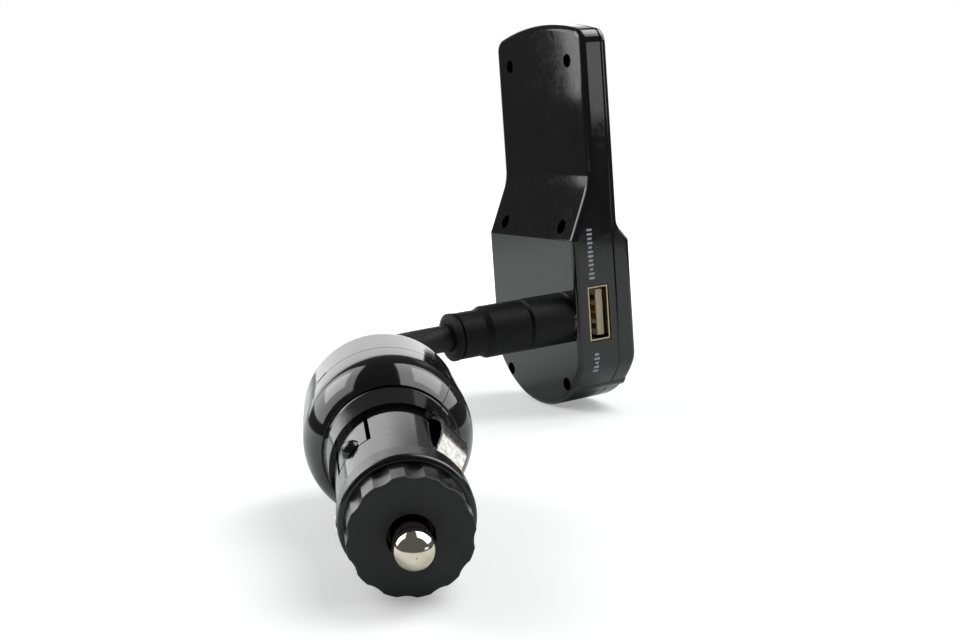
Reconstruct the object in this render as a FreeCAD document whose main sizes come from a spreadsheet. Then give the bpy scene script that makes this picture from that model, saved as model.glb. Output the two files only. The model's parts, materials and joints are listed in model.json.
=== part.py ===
import FreeCAD, Part
import math
import os
import Sketcher

# Car FM transmitter: a plug for the 12 V socket lies on the table, a gooseneck rises from its back,
# and the head with display, buttons and USB socket stands on its rounded end.
# Plug frame: Y runs back along the plug's axis from the nose ring, X points at a side contact.
# Head frame: X points at the USB side, Y at the front face, Z up, with Y = 0 on the thick rear face.

Vector = FreeCAD.Vector
Rotation = FreeCAD.Rotation
Placement = FreeCAD.Placement
# How close a place must be to count as the same, in millimetres
NEAR = 0.01

SIZES = {
    # Nose cap of the plug
    "ring_radius": 10.3,
    "ring_front": 1.8,
    "ring_back": 2.4,
    "ring_round": 0.85,
    "face_radius": 9.35,
    "face_front": 7.6,
    "face_round": 0.4,
    "flute_radius": 4.2,
    "flute_depth": 0.34,
    "flute_count": 12,
    "flute_turn": 17.8,
    "dish_radius": 6.2,
    "dish_depth": 0.35,
    "nose_wall": 2.0,
    "spigot_length": 3.1,
    "thread_clearance": 0.08,
    # Sprung pin and fuse
    "pin_radius": 3.12,
    "pin_reach": 3.6,
    "stem_radius": 2.95,
    "pin_hole_clearance": 0.45,
    "flange_radius": 4.6,
    "flange_thickness": 1.2,
    "flange_clearance": 0.2,
    "stop_gap": 0.1,
    "fuse_radius": 2.6,
    "fuse_length": 20.0,
    "fuse_cap_length": 5.0,
    "fuse_cap_wall": 0.2,
    "fuse_clearance": 0.08,
    "fuse_cup_depth": 2.6,
    "fuse_cup_wall": 0.7,
    "spring_radius": 2.0,
    "spring_wire": 0.3,
    "spring_turns": 6,
    "spring_length": 9.4,
    "seat_radius": 3.6,
    "seat_thickness": 1.0,
    "seat_gap": 0.1,
    # Barrel, collar and bulb of the plug
    "barrel_radius": 10.0,
    "barrel_gap": 0.3,
    "barrel_back": 21.4,
    "shell_wall": 1.6,
    "collar_front_radius": 10.75,
    "collar_back_radius": 11.5,
    "collar_back": 27.4,
    "groove_radius": 10.8,
    "groove_width": 0.6,
    "bulb_front_radius": 11.8,
    "bulb_radius": 14.72,
    "bulb_back": 35.9,
    "bulb_seam": 40.6,
    "bulb_seam_radius": 14.66,
    "bulb_bore_radius": 12.5,
    "bulb_bore_front": 34.0,
    "barrel_bore_back": 26.5,
    # Side contacts and spring tongues
    "contact_width": 5.2,
    "contact_thickness": 0.3,
    "contact_slot_clearance": 0.3,
    "contact_slot_front": 4.2,
    "contact_slot_back": 21.0,
    "contact_toe_radius": 9.2,
    "contact_toe": 5.5,
    "contact_heel": 20.1,
    "contact_crown_radius": 11.75,
    "contact_foot_radius": 7.3,
    "contact_foot": 20.4,
    "tongue_width": 6.4,
    "tongue_front": 10.5,
    "tongue_back": 20.6,
    "tongue_side_slit": 0.7,
    "tongue_front_slit": 0.45,
    "bump_radius": 1.75,
    "bump_place": 12.3,
    "bump_sink": 0.45,
    "tongue_turn": 6.3,
    # Rear cap of the plug
    "cap_gap": 0.2,
    "cap_spigot_length": 3.2,
    "cap_spigot_wall": 1.5,
    "cap_clearance": 0.1,
    "cap_rim_radius": 14.4,
    "cap_rim": 50.2,
    "cap_shoulder_radius": 10.4,
    "cap_shoulder": 56.2,
    "cap_floor": 53.4,
    "nipple_base_radius": 5.4,
    "nipple_tip_radius": 4.7,
    "nipple_base": 57.4,
    "nipple_tip": 62.4,
    "notch_width": 2.4,
    "notch_length": 0.6,
    "notch_depth": 0.8,
    "plug_board_width": 16.8,
    "plug_board_length": 15.8,
    "plug_board_thickness": 1.2,
    "plug_board_gap": 0.3,
    # Gooseneck and its ferrule at the head
    "neck_radius": 3.1,
    "neck_clearance": 0.2,
    "neck_first_run": 25.1,
    "neck_last_run": 8.9,
    "neck_arc_share": 0.45,
    "boss_radius": 6.2,
    "boss_length": 12.0,
    "boss_side": 13.0,
    "boss_height": 23.8,
    "boss_chamfer": 0.7,
    "boss_root": 1.0,
    "wire_hole_radius": 1.8,
    "ferrule_gap": 0.3,
    "ferrule_spigot_radius": 4.6,
    "ferrule_spigot_length": 7.6,
    "ferrule_clearance": 0.08,
    "ferrule_radius": 6.15,
    "ferrule_barrel_end": 22.4,
    "ferrule_tip_radius": 5.45,
    "ferrule_tip_start": 23.8,
    "ferrule_groove_start": 29.6,
    "ferrule_groove_end": 30.2,
    "ferrule_groove_radius": 5.1,
    "ferrule_flange_radius": 5.6,
    "ferrule_flange_end": 31.0,
    "ferrule_end": 31.6,
    "ferrule_bevel_radius": 4.4,
    "ferrule_socket_length": 11.0,
    # Head housing
    "head_half_width": 20.0,
    "head_top_half_width": 19.5,
    "head_height": 94.0,
    "head_top_rise": 2.8,
    "head_bottom_rise": 12.6,
    "head_depth": 16.5,
    "parting": 11.4,
    "rear_step": 5.9,
    "rear_crease": 42.9,
    "rear_slope_top": 56.0,
    "rear_hollow": 14.0,
    "front_step": 3.2,
    "front_crease": 41.6,
    "front_slope_top": 45.4,
    "front_hollow": 3.5,
    "crease_round": 0.8,
    "corner_round": 3.5,
    "heel_round": 7.0,
    "edge_round": 1.4,
    "parting_bevel": 0.25,
    "head_wall": 1.6,
    "floor_thickness": 1.7,
    "thin_floor_thickness": 1.5,
    # Screws of the head
    "screw_side": 13.1,
    "screw_low": 7.3,
    "screw_middle": 45.8,
    "screw_drop": 9.2,
    "screw_recess_radius": 1.6,
    "screw_seat": 8.2,
    "screw_head_radius": 1.4,
    "screw_head_height": 1.1,
    "screw_shank_radius": 0.8,
    "screw_length": 4.4,
    "screw_clearance": 0.15,
    "post_radius": 2.7,
    # USB socket
    "usb_height": 24.8,
    "usb_depth": 6.2,
    "usb_width": 13.1,
    "usb_thickness": 5.7,
    "usb_length": 14.0,
    "usb_wall": 0.35,
    "usb_inset": 0.3,
    "usb_clearance": 0.2,
    "usb_tongue_width": 11.1,
    "usb_tongue_thickness": 1.84,
    "usb_tongue_inset": 1.0,
    "usb_tongue_shift": 0.9,
    "usb_block_length": 2.4,
    "usb_insert_gap": 0.1,
    # Main board, display and keys
    "board_half_width": 17.5,
    "board_bottom": 11.6,
    "board_drop": 5.0,
    "board_thickness": 1.4,
    "board_gap": 0.15,
    "board_post_clearance": 0.2,
    "window_drop": 23.0,
    "window_width": 31.0,
    "window_tall": 23.0,
    "window_thickness": 0.9,
    "window_sink": 0.1,
    "window_clearance": 0.15,
    "window_ledge": 1.6,
    "window_corner": 1.5,
    "display_gap": 0.1,
    "key_row": 24.5,
    "key_spread": 11.0,
    "main_key_radius": 5.6,
    "side_key_radius": 3.5,
    "key_clearance": 0.2,
    "key_rise": 0.7,
    "key_round": 0.4,
    "key_flange": 0.8,
    "key_flange_thickness": 0.8,
    "key_flange_gap": 0.1,
    "switch_gap": 0.6,
    "switch_width": 5.0,
    "switch_plunger_radius": 1.5,
    "switch_plunger_height": 0.5,
    # How the pieces lie on the table
    "plug_roll": 44.2,
    "head_yaw": 68.7,
    "head_lean": 4.97,
    "head_right": 45.8,
    "head_behind": 97.5,
}

# Sizes that follow from those above
DERIVED = {
    "ring_shoulder": "=-ring_front",
    "nose_face": "=-face_front",
    "dish_floor": "=dish_depth - face_front",
    "nose_inner": "=nose_wall - face_front",
    "pin_hole_radius": "=pin_radius + pin_hole_clearance",
    "chamber_radius": "=flange_radius + flange_clearance",
    "spigot_end": "=ring_back + spigot_length",
    "barrel_bore_radius": "=barrel_radius - shell_wall",
    "spigot_radius": "=barrel_radius - shell_wall - thread_clearance",
    "flute_axis": "=face_radius - flute_depth + flute_radius",
    "flute_start": "=ring_front + ring_round / 4",
    "flute_length": "=face_front",
    "flange_front": "=nose_inner + stop_gap",
    "flange_back": "=flange_front + flange_thickness",
    "pin_ball": "=-face_front - pin_reach",
    "pin_tip": "=pin_ball - pin_radius",
    "pin_neck": "=pin_ball + sqrt(pin_radius ^ 2 - stem_radius ^ 2)",
    "fuse_cup_radius": "=fuse_radius + fuse_clearance",
    "fuse_cup_outer": "=fuse_cup_radius + fuse_cup_wall",
    "fuse_cup_end": "=flange_back + fuse_cup_depth",
    "fuse_front": "=flange_back + seat_gap",
    "fuse_back": "=fuse_front + fuse_length",
    "fuse_cap_inner_front": "=fuse_front + fuse_cap_wall",
    "fuse_cap_front_end": "=fuse_front + fuse_cap_length",
    "fuse_cap_inner_back": "=fuse_back - fuse_cap_wall",
    "fuse_cap_back_end": "=fuse_back - fuse_cap_length",
    "fuse_cap_inner": "=fuse_radius - fuse_cap_wall",
    "fuse_glass_radius": "=fuse_cap_inner - fuse_clearance",
    "fuse_glass_front": "=fuse_cap_inner_front + fuse_clearance",
    "fuse_glass_back": "=fuse_cap_inner_back - fuse_clearance",
    "spring_front": "=fuse_back + seat_gap",
    "seat_front": "=spring_front + spring_length + seat_gap",
    "seat_back": "=seat_front + seat_thickness",
    "spring_pitch": "=(spring_length - 2 * spring_wire) / spring_turns",
    "spring_rise": "=spring_length - 2 * spring_wire",
    "barrel_front": "=ring_back + barrel_gap",
    "groove_back": "=collar_back + groove_width",
    "bulb_swell": "=bulb_radius - bulb_front_radius",
    "bulb_front_bend": "=bulb_swell / 2 + (bulb_back - groove_back) ^ 2 / (2 * bulb_swell)",
    "bulb_taper": "=bulb_radius - bulb_seam_radius",
    "bulb_rear_bend": "=bulb_taper / 2 + (bulb_seam - bulb_back) ^ 2 / (2 * bulb_taper)",
    "contact_slot_half": "=contact_width / 2 + contact_slot_clearance",
    "contact_rise": "=contact_crown_radius - contact_toe_radius",
    "contact_bend": "=contact_rise / 2 + (contact_heel - contact_toe) ^ 2 / (8 * contact_rise)",
    "tongue_half": "=tongue_width / 2",
    "tongue_slit_half": "=tongue_width / 2 + tongue_side_slit",
    "tongue_slit_front": "=tongue_front - tongue_front_slit",
    "bump_axis": "=barrel_radius - bump_sink",
    "bump_side": "=bump_axis * sin(tongue_turn)",
    "bump_height": "=bump_axis * cos(tongue_turn)",
    "cap_front": "=bulb_seam + cap_gap",
    "cap_drop": "=cap_rim_radius - cap_shoulder_radius",
    "cap_bend": "=cap_drop / 2 + (cap_shoulder - cap_rim) ^ 2 / (2 * cap_drop)",
    "notch_half": "=notch_width / 2",
    "notch_back": "=cap_front + notch_length",
    "notch_floor": "=bulb_seam_radius - notch_depth",
    "notch_reach": "=notch_depth * 2",
    "cap_spigot_front": "=bulb_seam - cap_spigot_length",
    "cap_spigot_radius": "=bulb_bore_radius - cap_clearance",
    "cap_spigot_inner": "=cap_spigot_radius - cap_spigot_wall",
    "neck_bore_radius": "=neck_radius + neck_clearance",
    "neck_start": "=cap_floor + neck_clearance",
    "plug_board_front": "=seat_back + plug_board_gap",
    "contact_end": "=plug_board_front - plug_board_gap - contact_thickness",
    "boss_end": "=boss_root + boss_length",
    "boss_bore_radius": "=ferrule_spigot_radius + ferrule_clearance",
    "boss_bore_depth": "=ferrule_spigot_length + ferrule_gap",
    "wire_hole_length": "=boss_length + floor_thickness + boss_root",
    "ferrule_start": "=boss_length + ferrule_gap",
    "ferrule_spigot_end": "=boss_length - ferrule_spigot_length",
    "ferrule_socket_end": "=ferrule_end - ferrule_socket_length",
    "head_side_top": "=head_height - head_top_rise",
    "head_top_bend": "=(head_top_half_width ^ 2 + head_top_rise ^ 2) / (2 * head_top_rise)",
    "head_bottom_bend": "=(head_half_width ^ 2 + head_bottom_rise ^ 2) / (2 * head_bottom_rise)",
    "head_beyond": "=head_height + head_wall",
    "head_behind_rear": "=-head_wall",
    "front_depth": "=head_depth - parting",
    "front_thin": "=head_depth - front_step",
    "front_beyond": "=head_depth + head_wall",
    "front_lower_depth": "=front_depth - thin_floor_thickness",
    "front_post_length": "=front_depth - thin_floor_thickness / 2",
    "inner_half_width": "=head_half_width - head_wall",
    "inner_top_half_width": "=head_top_half_width - head_wall",
    "inner_bottom_rise": "=head_bottom_rise + head_wall / 4",
    "inner_bottom_sag": "=inner_bottom_rise - head_wall",
    "inner_bottom_bend": "=(inner_half_width ^ 2 + inner_bottom_sag ^ 2) / (2 * inner_bottom_sag)",
    "lower_room_top": "=rear_crease - head_wall",
    "front_room_top": "=front_crease - head_wall",
    "inner_side_top": "=head_side_top - head_wall",
    "inner_top_bend": "=head_top_bend - head_wall",
    "lower_room_depth": "=parting - floor_thickness",
    "upper_room_depth": "=parting - rear_step - thin_floor_thickness",
    "low_post_length": "=parting - floor_thickness / 2",
    "high_post_length": "=parting - rear_step - thin_floor_thickness / 2",
    "screw_high": "=head_height - screw_drop",
    "screw_hole_radius": "=screw_shank_radius + screw_clearance",
    "screw_end": "=screw_seat + screw_length",
    "screw_hole_end": "=screw_end + screw_clearance",
    "screw_hole_in_front": "=screw_hole_end - parting",
    "screw_head_front": "=screw_seat - screw_head_height",
    "usb_back": "=head_half_width - usb_inset - usb_length",
    "usb_cut_start": "=head_half_width - head_wall * 2",
    "usb_cut_length": "=head_wall * 3",
    "usb_low": "=usb_height - usb_width / 2 - usb_clearance",
    "usb_high": "=usb_height + usb_width / 2 + usb_clearance",
    "usb_near": "=usb_depth - usb_thickness / 2 - usb_clearance",
    "usb_far": "=usb_depth + usb_thickness / 2 + usb_clearance",
    "usb_insert_width": "=usb_width - 2 * usb_wall - 2 * usb_insert_gap",
    "usb_insert_thickness": "=usb_thickness - 2 * usb_wall - 2 * usb_insert_gap",
    "usb_bore_width": "=usb_width - 2 * usb_wall",
    "usb_bore_thickness": "=usb_thickness - 2 * usb_wall",
    "usb_bore_length": "=usb_length + usb_wall",
    "usb_tongue_length": "=usb_length - usb_wall - usb_tongue_inset",
    "board_top": "=head_height - board_drop",
    "board_rear": "=usb_depth + usb_thickness / 2 + board_gap",
    "board_front": "=board_rear + board_thickness",
    "board_hole_radius": "=post_radius + board_post_clearance",
    "window_half": "=window_width / 2",
    "window_height": "=head_height - window_drop",
    "window_low": "=window_height - window_tall / 2",
    "window_high": "=window_height + window_tall / 2",
    "recess_half": "=window_half + window_clearance",
    "recess_low": "=window_low - window_clearance",
    "recess_high": "=window_high + window_clearance",
    "opening_half": "=window_half - window_ledge",
    "opening_low": "=window_low + window_ledge",
    "opening_high": "=window_high - window_ledge",
    "window_recess_depth": "=window_thickness + window_sink + window_clearance",
    "window_rear": "=front_thin - window_sink - window_thickness",
    "display_width": "=2 * opening_half - 2 * window_clearance",
    "display_tall": "=opening_high - opening_low - 2 * window_clearance",
    "display_rear": "=board_front + display_gap",
    "display_thickness": "=window_rear - display_gap - display_rear",
    "front_wall_inner": "=head_depth - thin_floor_thickness",
    "key_flange_front": "=front_wall_inner - key_flange_gap",
    "key_flange_rear": "=key_flange_front - key_flange_thickness",
    "key_top": "=head_depth + key_rise",
    "main_key_hole_radius": "=main_key_radius + key_clearance",
    "side_key_hole_radius": "=side_key_radius + key_clearance",
    "main_key_flange_radius": "=main_key_radius + key_flange",
    "side_key_flange_radius": "=side_key_radius + key_flange",
    "switch_rear": "=board_front + display_gap",
    "switch_height": "=key_flange_rear - switch_gap - switch_plunger_height - switch_rear",
    "key_high": "=key_row + key_spread",
    "key_low": "=key_row - key_spread",
}

doc = FreeCAD.newDocument("car_fm_transmitter")
sheet = doc.addObject("Spreadsheet::Sheet", "Sizes")
for row, (alias, content) in enumerate({**SIZES, **DERIVED}.items(), start=1):
    sheet.set(f"A{row}", alias)
    sheet.set(f"B{row}", str(content))
    sheet.setAlias(f"B{row}", alias)
doc.recompute()


def size(name):
    """Value of a named size; a leading minus turns it round, and 0 stays 0."""
    if name == 0:
        return 0.0
    if name.startswith("-"):
        return -size(name[1:])
    return float(getattr(sheet, name))


def formula(name):
    """The expression that ties a property to a named size."""
    if name.startswith("-"):
        return "-Sizes." + name[1:]
    return "Sizes." + name


def tie(item, **properties):
    """Binds properties of a feature to named sizes."""
    for key, name in properties.items():
        item.setExpression(key, formula(name))
    return item


def settle(item):
    """Recomputes, and stops if the feature failed."""
    doc.recompute()
    if "Invalid" in item.State or "Error" in item.State:
        raise ValueError(f"{item.Label} failed: {item.State}")
    return item


def new_body(label):
    body = doc.addObject("PartDesign::Body", label)
    body.Label = label
    return body


def new_sketch(body, name, plane, offset=None):
    """A sketch on one of the body's own planes, lifted along the plane's normal by a named size."""
    sketch = body.newObject("Sketcher::SketchObject", name)
    support = next(item for item in body.Origin.OriginFeatures if item.Role == plane)
    sketch.AttachmentSupport = [(support, "")]
    sketch.MapMode = "FlatFace"
    if offset:
        sketch.setExpression("AttachmentOffset.Base.z", formula(offset))
    return sketch


def pin_point(sketch, edge, end, x_name, y_name):
    """Holds one end of an edge, or a circle's centre, at named coordinates."""
    for kind, axis, name in (("DistanceX", -2, x_name), ("DistanceY", -1, y_name)):
        if name == 0:
            sketch.addConstraint(Sketcher.Constraint("PointOnObject", edge, end, axis))
            continue
        index = sketch.addConstraint(Sketcher.Constraint(kind, edge, end, size(name)))
        sketch.setExpression(f"Constraints[{index}]", formula(name))


def bent_edge(start, end, bend):
    """Minor arc from start to end: a positive bend turns left on the way, a negative one right."""
    chord = end - start
    side = Vector(-chord.y, chord.x, 0).normalize()
    reach = math.sqrt(bend ** 2 - (chord.Length / 2) ** 2)
    centre = (start + end) / 2 + side * math.copysign(reach, bend)
    first, last = (start, end) if bend > 0 else (end, start)
    angles = [math.atan2(point.y - centre.y, point.x - centre.x) for point in (first, last)]
    if angles[1] < angles[0]:
        angles[1] += 2 * math.pi
    return Part.ArcOfCircle(Part.Circle(centre, Vector(0, 0, 1), abs(bend)), *angles)


def outline(sketch, corners, closed=True):
    """Edges through corners (x, y) or (x, y, bend); a bend makes the edge that arrives there an arc."""
    points = [Vector(size(corner[0]), size(corner[1]), 0) for corner in corners]
    edges = []
    for index in range(0 if closed else 1, len(corners)):
        start, end = points[index - 1], points[index]
        corner = corners[index]
        if len(corner) == 2:
            edge = sketch.addGeometry(Part.LineSegment(start, end), False)
            edges.append((edge, 1, 2))
        else:
            bend = size(corner[2])
            edge = sketch.addGeometry(bent_edge(start, end, bend), False)
            edges.append((edge, 1, 2) if bend > 0 else (edge, 2, 1))
            constraint = sketch.addConstraint(Sketcher.Constraint("Radius", edge, abs(bend)))
            sketch.setExpression(f"Constraints[{constraint}]", formula(corner[2].lstrip("-")))
        pin_point(sketch, edge, edges[-1][2], corner[0], corner[1])
    if not closed:
        pin_point(sketch, edges[0][0], edges[0][1], *corners[0][:2])
    for index in range(0 if closed else 1, len(edges)):
        before, after = edges[index - 1], edges[index]
        sketch.addConstraint(Sketcher.Constraint("Coincident", before[0], before[2], after[0], after[1]))


def rings(sketch, radius, centres):
    """Circles of one named radius about named centres."""
    for x_name, y_name in centres:
        middle = Vector(size(x_name), size(y_name), 0)
        edge = sketch.addGeometry(Part.Circle(middle, Vector(0, 0, 1), size(radius)), False)
        index = sketch.addConstraint(Sketcher.Constraint("Radius", edge, size(radius)))
        sketch.setExpression(f"Constraints[{index}]", formula(radius))
        pin_point(sketch, edge, 3, x_name, y_name)


def extrude(body, kind, sketch, length, reverse=False):
    """A Pad or Pocket of a named length; reverse turns its direction."""
    item = body.newObject("PartDesign::" + kind, sketch.Name + kind)
    item.Profile = sketch
    item.setExpression("Length", formula(length))
    item.Reversed = reverse
    before = body.Shape.Volume if kind == "Pocket" else None
    settle(item)
    if before is not None and body.Shape.Volume >= before:
        raise ValueError(f"{item.Label} cuts nothing")
    return item


def cut_across(body, sketch):
    """Cuts a side profile right through the body, to both sides of its sketch."""
    item = body.newObject("PartDesign::Pocket", sketch.Name + "Cut")
    item.Profile = sketch
    item.Type = "ThroughAll"
    item.Midplane = True
    before = body.Shape.Volume
    settle(item)
    if body.Shape.Volume >= before:
        raise ValueError(f"{item.Label} cuts nothing")
    return item


def turn(body, corners, angle=360, reverse=False):
    """Revolves a profile of (radius, place along the axis) about the body's Y axis."""
    sketch = new_sketch(body, body.Label + "_profile", "XY_Plane")
    outline(sketch, corners)
    item = body.newObject("PartDesign::Revolution", body.Label + "_turned")
    item.Profile = sketch
    item.ReferenceAxis = (sketch, ["V_Axis"])
    item.Angle = angle
    item.Reversed = reverse
    return settle(item)


def edges_where(shape, test):
    return [f"Edge{number}" for number, edge in enumerate(shape.Edges, start=1) if test(edge)]


def runs_front_to_back(edge):
    return edge.BoundBox.XLength + edge.BoundBox.ZLength < NEAR


def runs_side_to_side(edge):
    return edge.BoundBox.YLength + edge.BoundBox.ZLength < NEAR


def dress(body, kind, base, names, **properties):
    """A Fillet or Chamfer on the named edges of the last feature."""
    item = body.newObject("PartDesign::" + kind, f"{body.Label}_{kind}_{len(body.Group)}")
    item.Base = (base, names)
    tie(item, **properties)
    return settle(item)


def primitive(kind, name, local=Placement(), **properties):
    item = doc.addObject("Part::" + kind, name)
    tie(item, **properties)
    item.Placement = local
    return item


def fused(label, pieces):
    item = doc.addObject("Part::MultiFuse", label)
    item.Label = label
    item.Shapes = pieces
    return item


def cut_from(label, base, tool):
    item = doc.addObject("Part::Cut", label)
    item.Label = label
    item.Base = base
    item.Tool = tool
    return item


def gathered(label, pieces):
    """Several like pieces in one node, as separate solids."""
    item = doc.addObject("Part::Compound", label)
    item.Label = label
    item.Links = pieces
    return item


def centred_box(name, centre, **properties):
    """A box whose X and Z sizes lie evenly about a centre, growing forward from its Y."""
    box = primitive("Box", name, **properties)
    doc.recompute()
    box.Placement.Base = Vector(*centre) - Vector(float(box.Length) / 2, 0, float(box.Height) / 2)
    return box


FORWARD = Rotation(Vector(1, 0, 0), -90)


def make_nose_cap():
    """Screw-on nose cap: a smooth ring, a fluted grip in front of it and a threaded spigot behind."""
    body = new_body("nose_cap")
    turned = turn(body, [
        ("pin_hole_radius", "nose_inner"), ("pin_hole_radius", "dish_floor"), ("dish_radius", "nose_face"),
        ("face_radius", "nose_face"), ("face_radius", "ring_shoulder"), ("ring_radius", "ring_shoulder"),
        ("ring_radius", "ring_back"), ("spigot_radius", "ring_back"), ("spigot_radius", "spigot_end"),
        ("chamber_radius", "spigot_end"), ("chamber_radius", "nose_inner"),
    ])
    shoulder = size("ring_shoulder")
    ring = edges_where(turned.Shape, lambda edge: abs(edge.BoundBox.YMin - shoulder) < NEAR
                       and abs(edge.BoundBox.YMax - shoulder) < NEAR
                       and edge.BoundBox.XMax > size("ring_radius") - NEAR)
    dress(body, "Fillet", turned, ring, Radius="ring_round")
    sketch = new_sketch(body, "flute", "XZ_Plane", "flute_start")
    rings(sketch, "flute_radius", [("flute_axis", 0)])
    flute = extrude(body, "Pocket", sketch, "flute_length", reverse=True)
    flutes = body.newObject("PartDesign::PolarPattern", "flutes")
    flutes.Originals = [flute]
    flutes.Axis = (sketch, ["N_Axis"])
    flutes.Angle = 360
    tie(flutes, Occurrences="flute_count")
    body.Tip = flutes
    doc.recompute()
    face = size("nose_face")
    rim = edges_where(flutes.Shape, lambda edge: edge.BoundBox.YMax < face + NEAR
                      and math.hypot(edge.CenterOfMass.x, edge.CenterOfMass.z) > size("dish_radius"))
    dress(body, "Fillet", flutes, rim, Radius="face_round")
    return body


def make_contact_pin():
    """Centre contact: a ball tip on a thinner stem, a flange that the cap stops and a cup for the fuse."""
    body = new_body("contact_pin")
    turn(body, [
        (0, "flange_back"), (0, "pin_tip"), ("stem_radius", "pin_neck", "pin_radius"),
        ("stem_radius", "flange_front"), ("flange_radius", "flange_front"), ("flange_radius", "flange_back"),
        ("fuse_cup_outer", "flange_back"), ("fuse_cup_outer", "fuse_cup_end"),
        ("fuse_cup_radius", "fuse_cup_end"), ("fuse_cup_radius", "flange_back"),
    ])
    return body


def make_fuse():
    """Glass fuse: a clear tube with a metal cap over each end."""
    glass = new_body("fuse_glass")
    turn(glass, [(0, "fuse_glass_front"), ("fuse_glass_radius", "fuse_glass_front"),
                 ("fuse_glass_radius", "fuse_glass_back"), (0, "fuse_glass_back")])
    caps = []
    for end, outer, inner, rim in (("front", "fuse_front", "fuse_cap_inner_front", "fuse_cap_front_end"),
                                   ("back", "fuse_back", "fuse_cap_inner_back", "fuse_cap_back_end")):
        cap = new_body("fuse_cap_" + end)
        turn(cap, [(0, outer), ("fuse_radius", outer), ("fuse_radius", rim), ("fuse_cap_inner", rim),
                   ("fuse_cap_inner", inner), (0, inner)])
        caps.append(cap)
    return glass, gathered("fuse_end_caps", caps)


def make_pin_spring():
    """Compression spring behind the fuse, wound about the plug's axis."""
    helix = doc.addObject("Part::Helix", "spring_helix")
    tie(helix, Pitch="spring_pitch", Height="spring_rise", Radius="spring_radius")
    wire = doc.addObject("Part::Circle", "spring_section")
    tie(wire, Radius="spring_wire")
    wire.Placement = Placement(Vector(size("spring_radius"), 0, 0), Rotation(Vector(1, 0, 0), 90))
    spring = doc.addObject("Part::Sweep", "pin_spring")
    spring.Label = "pin_spring"
    spring.Sections = [wire]
    spring.Spine = (helix, ["Edge1"])
    spring.Solid = True
    spring.Frenet = True
    return spring


def make_plug_shell(label, upper):
    """Half of the barrel, collar and bulb, split through the two side contacts."""
    body = new_body(label)
    turn(body, [
        ("barrel_bore_radius", "barrel_front"), ("barrel_radius", "barrel_front"),
        ("barrel_radius", "barrel_back"), ("collar_front_radius", "barrel_back"),
        ("collar_back_radius", "collar_back"), ("groove_radius", "collar_back"),
        ("groove_radius", "groove_back"), ("bulb_front_radius", "groove_back"),
        ("bulb_radius", "bulb_back", "bulb_front_bend"), ("bulb_seam_radius", "bulb_seam", "bulb_rear_bend"),
        ("bulb_bore_radius", "bulb_seam"), ("bulb_bore_radius", "bulb_bore_front"),
        ("barrel_bore_radius", "barrel_bore_back"),
    ], angle=180, reverse=upper)
    slot = new_sketch(body, label + "_contact_slot", "YZ_Plane")
    outline(slot, [("contact_slot_front", "-contact_slot_half"), ("contact_slot_back", "-contact_slot_half"),
                   ("contact_slot_back", "contact_slot_half"), ("contact_slot_front", "contact_slot_half")])
    cut_across(body, slot)
    slit = new_sketch(body, label + "_tongue_slit", "XY_Plane")
    slit.AttachmentOffset = Placement(Vector(), Rotation(Vector(0, -1, 0), size("tongue_turn")))
    slit.setExpression("AttachmentOffset.Rotation.Angle", formula("tongue_turn"))
    outline(slit, [
        ("-tongue_slit_half", "tongue_back"), ("-tongue_slit_half", "tongue_slit_front"),
        ("tongue_slit_half", "tongue_slit_front"), ("tongue_slit_half", "tongue_back"),
        ("tongue_half", "tongue_back"), ("tongue_half", "tongue_front"),
        ("-tongue_half", "tongue_front"), ("-tongue_half", "tongue_back"),
    ])
    cut_across(body, slit)
    bump = body.newObject("PartDesign::AdditiveSphere", label + "_bump")
    tie(bump, Radius="bump_radius")
    across, up = ("-bump_side", "bump_height") if upper else ("bump_side", "-bump_height")
    for axis, name in (("x", across), ("y", "bump_place"), ("z", up)):
        bump.setExpression("Placement.Base." + axis, formula(name))
    doc.recompute()
    return body


def make_side_contact(label):
    """Sprung ground contact: a strip arched out through the slot, with a foot held inside the barrel."""
    path = doc.addObject("Sketcher::SketchObject", label + "_bend")
    outline(path, [
        ("contact_toe_radius", "contact_toe"), ("contact_toe_radius", "contact_heel", "contact_bend"),
        ("contact_foot_radius", "contact_foot"), ("contact_foot_radius", "contact_end"),
    ], closed=False)
    strip = doc.addObject("Part::Offset2D", label + "_strip")
    strip.Source = path
    strip.Fill = True
    tie(strip, Value="contact_thickness")
    sheet_metal = doc.addObject("Part::Extrusion", label)
    sheet_metal.Label = label
    sheet_metal.Base = strip
    sheet_metal.DirMode = "Custom"
    sheet_metal.Dir = Vector(0, 0, 1)
    sheet_metal.Symmetric = True
    sheet_metal.Solid = True
    tie(sheet_metal, LengthFwd="contact_width")
    return sheet_metal


def make_plug_rear_cap():
    """Domed rear cap that clamps the two half shells, with a nipple round the gooseneck."""
    body = new_body("plug_rear_cap")
    turn(body, [
        ("neck_bore_radius", "cap_floor"), ("cap_spigot_inner", "cap_floor"),
        ("cap_spigot_inner", "cap_spigot_front"), ("cap_spigot_radius", "cap_spigot_front"),
        ("cap_spigot_radius", "cap_front"), ("bulb_seam_radius", "cap_front"),
        ("cap_rim_radius", "cap_rim"), ("cap_shoulder_radius", "cap_shoulder", "cap_bend"),
        ("nipple_base_radius", "nipple_base"),
        ("nipple_tip_radius", "nipple_tip"), ("neck_bore_radius", "nipple_tip"),
    ])
    notch = new_sketch(body, "notch", "XY_Plane", "notch_floor")
    outline(notch, [("-notch_half", "cap_front"), ("notch_half", "cap_front"),
                    ("notch_half", "notch_back"), ("-notch_half", "notch_back")])
    extrude(body, "Pocket", notch, "notch_reach", reverse=True)
    return body


def make_spring_seat():
    seat = primitive("Cylinder", "spring_seat", Radius="seat_radius", Height="seat_thickness")
    seat.Label = "spring_seat"
    return seat


def make_plug_board():
    board = primitive("Box", "plug_circuit_board", Length="plug_board_width", Width="plug_board_length",
                      Height="plug_board_thickness")
    board.Label = "plug_circuit_board"
    return board


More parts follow.
